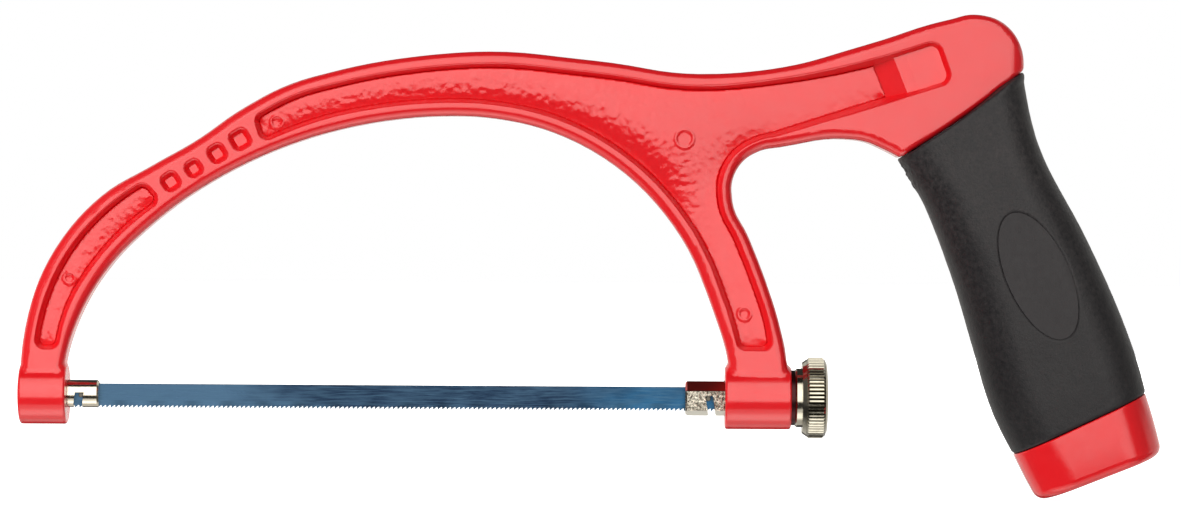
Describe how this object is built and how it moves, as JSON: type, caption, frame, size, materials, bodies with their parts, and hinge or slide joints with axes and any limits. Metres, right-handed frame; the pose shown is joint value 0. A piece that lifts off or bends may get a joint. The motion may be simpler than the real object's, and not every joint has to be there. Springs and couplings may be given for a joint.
{
  "type": "mini hacksaw",
  "caption": "Small hand hacksaw with a cast bow frame, pistol grip, slotted blade holders and a knurled screw knob that tensions and releases a pinned blade.",
  "frame": {"origin": "on the front holder's axis, at the front blade pin's length along it, in the middle plane of the saw", "axes": "+X runs along the blade from the front holder to the handle, +Z points from the blade up to the bow, +Y is across the saw"},
  "size_m": [0.2698, 0.024, 0.1139],
  "materials": {
    "frame_paint": "gloss powder coat with a slight orange peel",
    "grip_rubber": "matt, finely mottled",
    "core_plastic": "matt",
    "badge_plastic": "satin",
    "cap_plastic": "gloss",
    "screw_steel": "zinc plated",
    "nickel_plate": "nickel plate over a cast or turned surface",
    "knob_nickel": "nickel plate, knurled rim",
    "washer_steel": "black oxide",
    "blade_steel": "blued, brushed along the blade",
    "pin_steel": "plain"
  },
  "bodies": {
    "frame": {"bow_frame": "frame_paint", "grip_core": "core_plastic", "grip_sleeve": "grip_rubber", "grip_badge_left": "badge_plastic", "grip_badge_right": "badge_plastic", "butt_cap": "cap_plastic", "butt_cap_screw": "screw_steel", "front_blade_holder": "nickel_plate", "thrust_washer": "washer_steel"},
    "knob": {"tension_knob": "knob_nickel"},
    "rear_holder": {"rear_blade_holder": "nickel_plate"},
    "blade": {"saw_blade": "blade_steel", "front_blade_pin": "pin_steel", "rear_blade_pin": "pin_steel"}
  },
  "joints": [
    {"name": "knob_turn", "type": "hinge", "parent": "frame", "child": "knob", "pos_m": [0.172, 0, 0], "axis": [1, 0, 0], "range_deg": [0, 720]},
    {"name": "rear_holder_slide", "type": "slide", "parent": "frame", "child": "rear_holder", "axis": [-1, 0, 0], "range_m": [0, 0.00161]},
    {"name": "blade_release", "type": "slide", "parent": "frame", "child": "blade", "axis": [-0.158, 0, -0.9874], "range_m": [0, 0.00507]}
  ],
  "couplings": [
    {"joint": "rear_holder_slide", "follows": "knob_turn", "m_per_rad": 0.00012732},
    {"joint": "blade_release", "follows": "knob_turn", "m_per_rad": 0.00040295}
  ]
}
